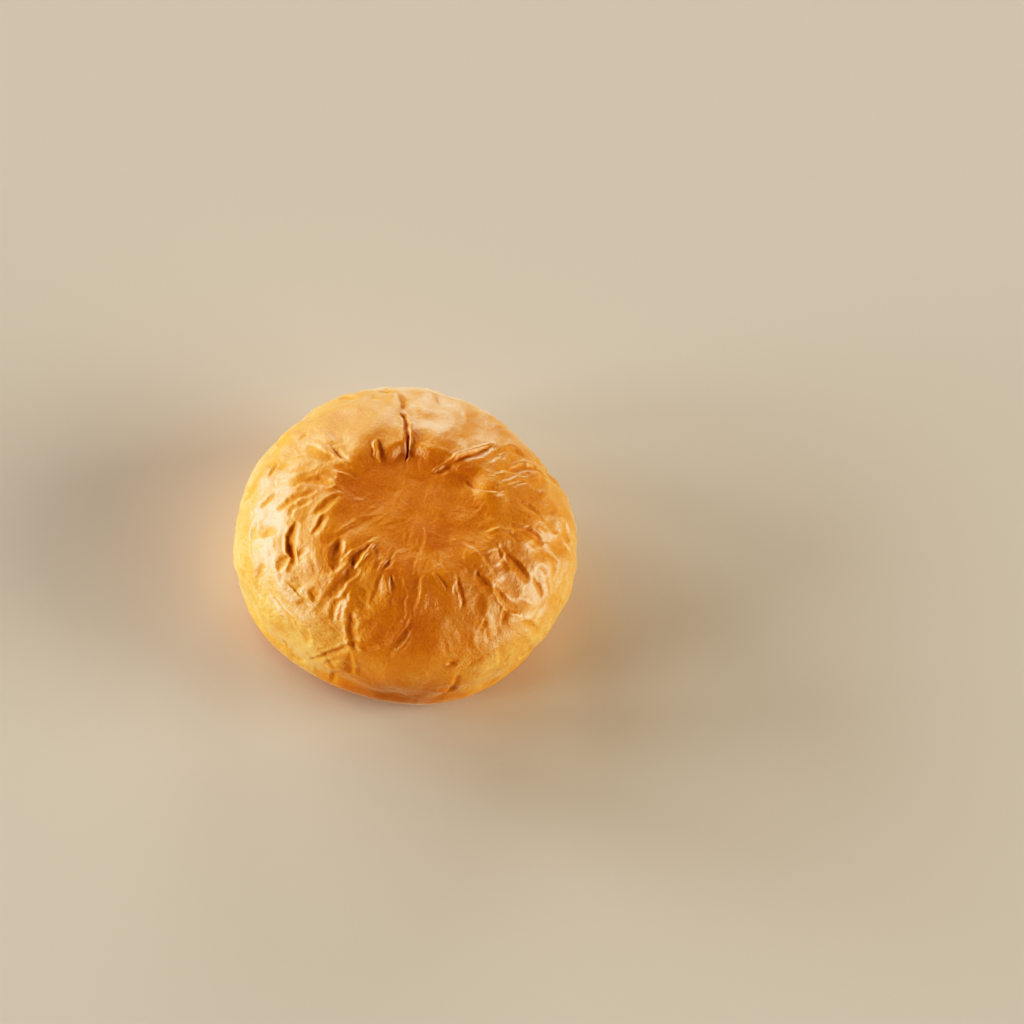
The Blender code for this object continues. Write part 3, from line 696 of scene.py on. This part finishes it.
class Wire:
    """A shader value that can be used in Python sums: each sum adds its Math node."""

    def __init__(self, paint, socket):
        self.paint = paint
        self.socket = socket

    def _math(self, operation, first, second):
        node = self.paint.node("ShaderNodeMath", {"operation": operation}, {0: first, 1: second})
        return Wire(self.paint, node.outputs[0])

    def __add__(self, other):
        return self._math("ADD", self, other)

    def __radd__(self, other):
        return self._math("ADD", other, self)

    def __sub__(self, other):
        return self._math("SUBTRACT", self, other)

    def __rsub__(self, other):
        return self._math("SUBTRACT", other, self)

    def __mul__(self, other):
        return self._math("MULTIPLY", self, other)


class Paint:
    """One node material, built by name."""

    def __init__(self, name):
        self.material = bpy.data.materials.new(name)
        self.material.use_nodes = True
        self.tree = self.material.node_tree
        self.shader = self.tree.nodes["Principled BSDF"]

    def node(self, kind, settings=None, sockets=None):
        """Adds a node, with its settings first and then its sockets' values or links."""
        node = self.tree.nodes.new(kind)
        for name, value in (settings or {}).items():
            setattr(node, name, value)
        self.feed(node, sockets or {})
        return node

    def feed(self, node, sockets):
        """Sets or links a node's inputs."""
        for name, value in sockets.items():
            socket = node.inputs[name]
            if isinstance(value, Wire):
                self.tree.links.new(value.socket, socket)
            else:
                socket.default_value = value

    def mark(self, name):
        """A named value painted on the mesh's points."""
        return Wire(self, self.node("ShaderNodeAttribute", {"attribute_name": name}).outputs["Fac"])

    def place(self):
        """Where the point is on the object, in metres."""
        return Wire(self, self.node("ShaderNodeTexCoord").outputs["Object"])

    def noise(self, place, size, detail=3.0, roughness=0.5):
        """Noise from 0 to 1 whose grains are about as large as size, in metres."""
        sockets = {"Vector": place, "Scale": 1.0 / size, "Detail": detail, "Roughness": roughness}
        return Wire(self, self.node("ShaderNodeTexNoise", {}, sockets).outputs["Fac"])

    def band(self, value, low, high):
        """0 below low, 1 above high and smooth between them."""
        settings = {"interpolation_type": "SMOOTHSTEP"}
        sockets = {"Value": value, "From Min": low, "From Max": high}
        return Wire(self, self.node("ShaderNodeMapRange", settings, sockets).outputs["Result"])

    def mix(self, share, first, second):
        """The first colour, turning into the second as the share goes to 1."""
        settings = {"data_type": "RGBA", "clamp_factor": True}
        node = self.node("ShaderNodeMix", settings, {0: share, 6: first, 7: second})
        return Wire(self, node.outputs[2])

    def bump(self, height, distance, normal=None):
        """A normal tilted by a height, whose 1 is so many metres."""
        sockets = {"Height": height, "Distance": distance}
        if normal:
            sockets["Normal"] = normal
        return Wire(self, self.node("ShaderNodeBump", {}, sockets).outputs["Normal"])


def crust_paint(finish):
    """Glazed brioche crust: pale gold where it baked least and as a painted sheen low on the sides,
    brown on top, with painted shade in the creases and low at the front.
    """
    paint = Paint("baked_crust")
    place = paint.place()
    axes = paint.node("ShaderNodeSeparateXYZ", {}, {0: place})
    height = Wire(paint, axes.outputs["Z"])
    across = Wire(paint, axes.outputs["X"]) - FRONT_SHIFT
    ahead = across * across * -FRONT_CURVE - Wire(paint, axes.outputs["Y"])
    front = paint.band(ahead, *FRONT_BAND)
    low = 1.0 - paint.band(height, *LOW_BAND)
    heel = 1.0 - paint.band(height, *HEEL_BAND)
    underside = 1.0 - paint.band(height, *UNDERSIDE_BAND)
    sunk = paint.mark("sunk")
    blotches = paint.noise(place, BLOTCH_SIZE)
    mottle = paint.noise(place, MOTTLE_SIZE, 4.0, 0.6)
    speckle = paint.noise(place, SPECKLE_SIZE, 2.0, 0.6)
    # Browner towards the top; the paler sides below are partly a painted sheen at the rims
    browning_and_painted_light = BROWN_LEAST + paint.band(height, *TOP_BAND) * TOP_BROWNING_AND_RIM_SHEEN
    browning_and_painted_light = browning_and_painted_light + (blotches - 0.5) * BLOTCH_SHARE
    browning_and_painted_light = browning_and_painted_light + (mottle - 0.5) * MOTTLE_SHARE + (speckle - 0.5) * SPECKLE_SHARE
    browning_and_painted_light = browning_and_painted_light + paint.mark("pressed") * BROWN_PRESS
    # Painted shade towards the front, most of all low down
    browning_and_painted_light = browning_and_painted_light + heel * BROWN_HEEL + front * (FRONT_PAINTED_SHADE + low * FRONT_LOW_PAINTED_SHADE)
    colour = paint.mix(paint.band(browning_and_painted_light, *GOLDEN_BAND), finish.pale, finish.golden)
    colour = paint.mix(paint.band(browning_and_painted_light, *BROWN_BAND), colour, finish.brown)
    # Painted shade in the hollows and creases
    colour = paint.mix(sunk * SUNK_SHADE_TINT + paint.mark("crease_shade") * CREASE_SHADE_TINT, colour, finish.crease_shade)
    colour = paint.mix(paint.mark("pan_line") * PAN_LINE_TINT, colour, finish.crumb)
    # Painted shade, darkest low down at the front
    colour = paint.mix(paint.band(ahead, *LOW_FRONT_SHADE_BAND) * low * LOW_FRONT_SHADE_TINT, colour, finish.base)
    colour = paint.mix(underside * UNDERSIDE_TINT, colour, finish.brown)
    glazed = (1.0 - sunk * SUNK_MATTNESS) * paint.band(height, *GLAZE_BAND)
    glazed = glazed * (1.0 - front * low * FRONT_MATTNESS)
    roughness = CRUST_ROUGHNESS + (mottle - 0.5) * MOTTLE_ROUGHNESS + sunk * SUNK_ROUGHNESS
    normal = paint.bump(paint.noise(place, GRAIN_SIZE, 3.0, 0.6), GRAIN_HEIGHT)
    normal = paint.bump(paint.noise(place, PORE_SIZE, 2.0), PORE_HEIGHT, normal)
    paint.feed(paint.shader, {
        "Base Color": colour,
        "Roughness": roughness,
        "Normal": normal,
        "Specular IOR Level": finish.satin,
        "Coat Weight": glazed * finish.glaze,
        "Coat Roughness": GLAZE_ROUGHNESS,
        "IOR": CRUST_IOR,
        "Sheen Weight": finish.sheen,
        "Sheen Roughness": SHEEN_ROUGHNESS,
        "Sheen Tint": SHEEN_TINT,
    })
    return paint.material


# ---------------------------------------------------------------- user settings


class BunFinish(bpy.types.PropertyGroup):
    """Colours and gloss of the crust."""

    # Also the colour of the painted sheen low on the sides
    pale: bpy.props.FloatVectorProperty(
        name="Pale", description="Crust that baked least", subtype="COLOR", size=4,
        default=(0.86, 0.462, 0.135, 1.0), min=0.0, max=1.0)
    golden: bpy.props.FloatVectorProperty(
        name="Golden", description="Most of the crust", subtype="COLOR", size=4,
        default=(0.74, 0.258, 0.010, 1.0), min=0.0, max=1.0)
    brown: bpy.props.FloatVectorProperty(
        name="Brown", description="Crust that baked most", subtype="COLOR", size=4,
        default=(0.60, 0.168, 0.006, 1.0), min=0.0, max=1.0)
    # Colour of the painted shade at the bottom of the folds
    crease_shade: bpy.props.FloatVectorProperty(
        name="Crease", description="Bottom of the folds", subtype="COLOR", size=4,
        default=(0.64, 0.21, 0.006, 1.0), min=0.0, max=1.0)
    crumb: bpy.props.FloatVectorProperty(
        name="Pan line", description="Soft pale skin at the pan line", subtype="COLOR", size=4,
        default=(0.86, 0.58, 0.22, 1.0), min=0.0, max=1.0)
    # Colour of the painted shade low down at the front
    base: bpy.props.FloatVectorProperty(
        name="Base", description="Darkest crust, low down at the front", subtype="COLOR", size=4,
        default=(0.40, 0.135, 0.008, 1.0), min=0.0, max=1.0)
    sheen: bpy.props.FloatProperty(
        name="Sheen", description="Weight of the skin's pale sheen at a glance", subtype="FACTOR",
        default=0.42, min=0.0, max=1.0)
    satin: bpy.props.FloatProperty(
        name="Satin", description="Level of the crust's own reflection", subtype="FACTOR",
        default=0.56, min=0.0, max=1.0)
    glaze: bpy.props.FloatProperty(
        name="Glaze", description="Weight of the egg wash's gloss", subtype="FACTOR",
        default=0.85, min=0.0, max=1.0)


class BunStudio(bpy.types.PropertyGroup):
    """Floor, light and exposure."""

    floor: bpy.props.FloatVectorProperty(
        name="Floor", description="Plain floor", subtype="COLOR", size=4,
        default=(0.67, 0.58, 0.47, 1.0), min=0.0, max=1.0)
    key: bpy.props.FloatProperty(
        name="Key", description="Light of the low bank on the left", default=1.45, min=0.0)
    side: bpy.props.FloatProperty(
        name="Side", description="Light from the right", default=2.0, min=0.0)
    back: bpy.props.FloatProperty(
        name="Back", description="Low light from behind", default=0.8, min=0.0)
    fill: bpy.props.FloatProperty(
        name="Fill", description="Light from above on the left", default=1.0, min=0.0)
    backdrop: bpy.props.FloatVectorProperty(
        name="Backdrop", description="Pale wall behind the floor, which lights nothing",
        subtype="COLOR", size=4, default=(0.62, 0.58, 0.52, 1.0), min=0.0, max=1.0)


# ---------------------------------------------------------------- operators


class BUN_OT_crust(bpy.types.Operator):
    """Shape the bun's wrinkled crust and bake it"""

    bl_idname = "bun.crust"
    bl_label = "Bun"
    bl_options = {"REGISTER", "UNDO"}

    def execute(self, context):
        mesh = turned_bun()
        marks = shape_crust(mesh)
        fit_to_node(mesh)
        data = bpy.data.meshes.new("bun_crust")
        mesh.to_mesh(data)
        mesh.free()
        for name, values in marks.items():
            layer = data.attributes.new(name, "FLOAT", "POINT")
            layer.data.foreach_set("value", values.astype(np.float32))
        data.materials.append(crust_paint(context.scene.bun_finish))
        data.shade_smooth()
        bun = bpy.data.objects.new("bun_crust", data)
        context.scene.collection.objects.link(bun)
        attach(bun, "root")
        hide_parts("bun")
        return {"FINISHED"}


def add_lamp(context, lamp, strength):
    """Lights the bun from far off, from a soft disc as wide as the spread, in degrees."""
    data = bpy.data.lights.new(lamp.name, "SUN")
    data.angle = math.radians(lamp.spread)
    data.energy = strength
    data.color = lamp.colour
    light = bpy.data.objects.new(lamp.name, data)
    azimuth, elevation = math.radians(lamp.azimuth), math.radians(lamp.elevation)
    way = Vector((math.cos(elevation) * math.cos(azimuth), math.cos(elevation) * math.sin(azimuth),
                  math.sin(elevation)))
    light.location = way
    light.rotation_euler = way.to_track_quat("Z", "Y").to_euler()
    context.scene.collection.objects.link(light)


def add_floor(context, colour):
    """Lays a wide plain floor under the bun."""
    mesh = bmesh.new()
    bmesh.ops.create_grid(mesh, x_segments=1, y_segments=1, size=FLOOR_HALF)
    data = bpy.data.meshes.new("floor")
    mesh.to_mesh(data)
    mesh.free()
    paint = Paint("plain_floor")
    paint.feed(paint.shader, {
        "Base Color": colour,
        "Roughness": FLOOR_ROUGHNESS,
        "Specular IOR Level": FLOOR_SPECULAR,
    })
    data.materials.append(paint.material)
    floor = bpy.data.objects.new("floor", data)
    context.scene.collection.objects.link(floor)


def add_camera(context):
    """Sets the camera as the photograph's, with the bun's middle at its pixel."""
    elevation = math.radians(CAMERA_ELEVATION)
    back = Vector((0.0, -math.cos(elevation), math.sin(elevation)))
    right = Vector((1.0, 0.0, 0.0))
    up = back.cross(right)
    straight = Matrix((right, up, back)).transposed()
    roll = Matrix.Rotation(math.radians(CAMERA_ROLL), 3, "Z")
    pixels_per_length = CAMERA_LENS / SENSOR_WIDTH * FRAME_PIXELS
    offset = (MIDDLE_PIXEL - Vector((FRAME_PIXELS, FRAME_PIXELS)) / 2.0) / pixels_per_length
    sight = Vector((offset.x, -offset.y, -1.0)).normalized()
    turn = sight.rotation_difference(Vector((0.0, 0.0, -1.0))).to_matrix()
    data = bpy.data.cameras.new("camera")
    data.lens = CAMERA_LENS
    data.sensor_width = SENSOR_WIDTH
    data.clip_start = 0.01
    camera = bpy.data.objects.new("camera", data)
    camera.matrix_world = (Matrix.Translation(Vector((0, 0, MIDDLE_HEIGHT)) + back * CAMERA_DISTANCE)
                           @ (straight @ roll @ turn).to_4x4())
    context.scene.collection.objects.link(camera)
    context.scene.camera = camera


def set_tone(view):
    """Shows the render through the photograph's tone curve."""
    view.view_transform = "Standard"
    view.use_curve_mapping = True
    curve = view.curve_mapping.curves[3]
    for point in range(1, TONE_POINTS):
        light = (point / TONE_POINTS) ** 2
        power = light ** TONE_CONTRAST
        curve.points.new(light, power * (1.0 + TONE_SHOULDER) / (power + TONE_SHOULDER))
    view.curve_mapping.update()


class BUN_OT_stage(bpy.types.Operator):
    """Add the plain floor, the soft lights and the camera"""

    bl_idname = "bun.stage"
    bl_label = "Stage"
    bl_options = {"REGISTER", "UNDO"}

    def execute(self, context):
        studio = context.scene.bun_studio
        add_floor(context, studio.floor)
        for lamp in LAMPS:
            add_lamp(context, lamp, getattr(studio, lamp.name) * lamp.share)
        world = bpy.data.worlds.new("room")
        world.use_nodes = True
        background = world.node_tree.nodes["Background"]
        background.inputs["Color"].default_value = studio.backdrop
        background.inputs["Strength"].default_value = 1.0
        world.cycles_visibility.diffuse = False
        world.cycles_visibility.glossy = False
        context.scene.world = world
        set_tone(context.scene.view_settings)
        add_camera(context)
        return {"FINISHED"}


class BUN_PT_panel(bpy.types.Panel):
    """The bun's operators and settings"""

    bl_label = "Brioche Burger Bun"
    bl_space_type = "VIEW_3D"
    bl_region_type = "UI"
    bl_category = "Bun"

    def draw(self, context):
        layout = self.layout
        for operator in (BUN_OT_crust, BUN_OT_stage):
            layout.operator(operator.bl_idname)
        for group in (context.scene.bun_finish, context.scene.bun_studio):
            for name in group.bl_rna.properties.keys():
                if name not in {"rna_type", "name"}:
                    layout.prop(group, name)


CLASSES = (BunFinish, BunStudio, BUN_OT_crust, BUN_OT_stage, BUN_PT_panel)


def register():
    for kind in CLASSES:
        bpy.utils.register_class(kind)
    bpy.types.Scene.bun_finish = bpy.props.PointerProperty(type=BunFinish)
    bpy.types.Scene.bun_studio = bpy.props.PointerProperty(type=BunStudio)


def unregister():
    del bpy.types.Scene.bun_studio
    del bpy.types.Scene.bun_finish
    for kind in reversed(CLASSES):
        bpy.utils.unregister_class(kind)


def main():
    register()
    bpy.ops.bun.crust()
    bpy.ops.bun.stage()


if __name__ == "__main__":
    main()
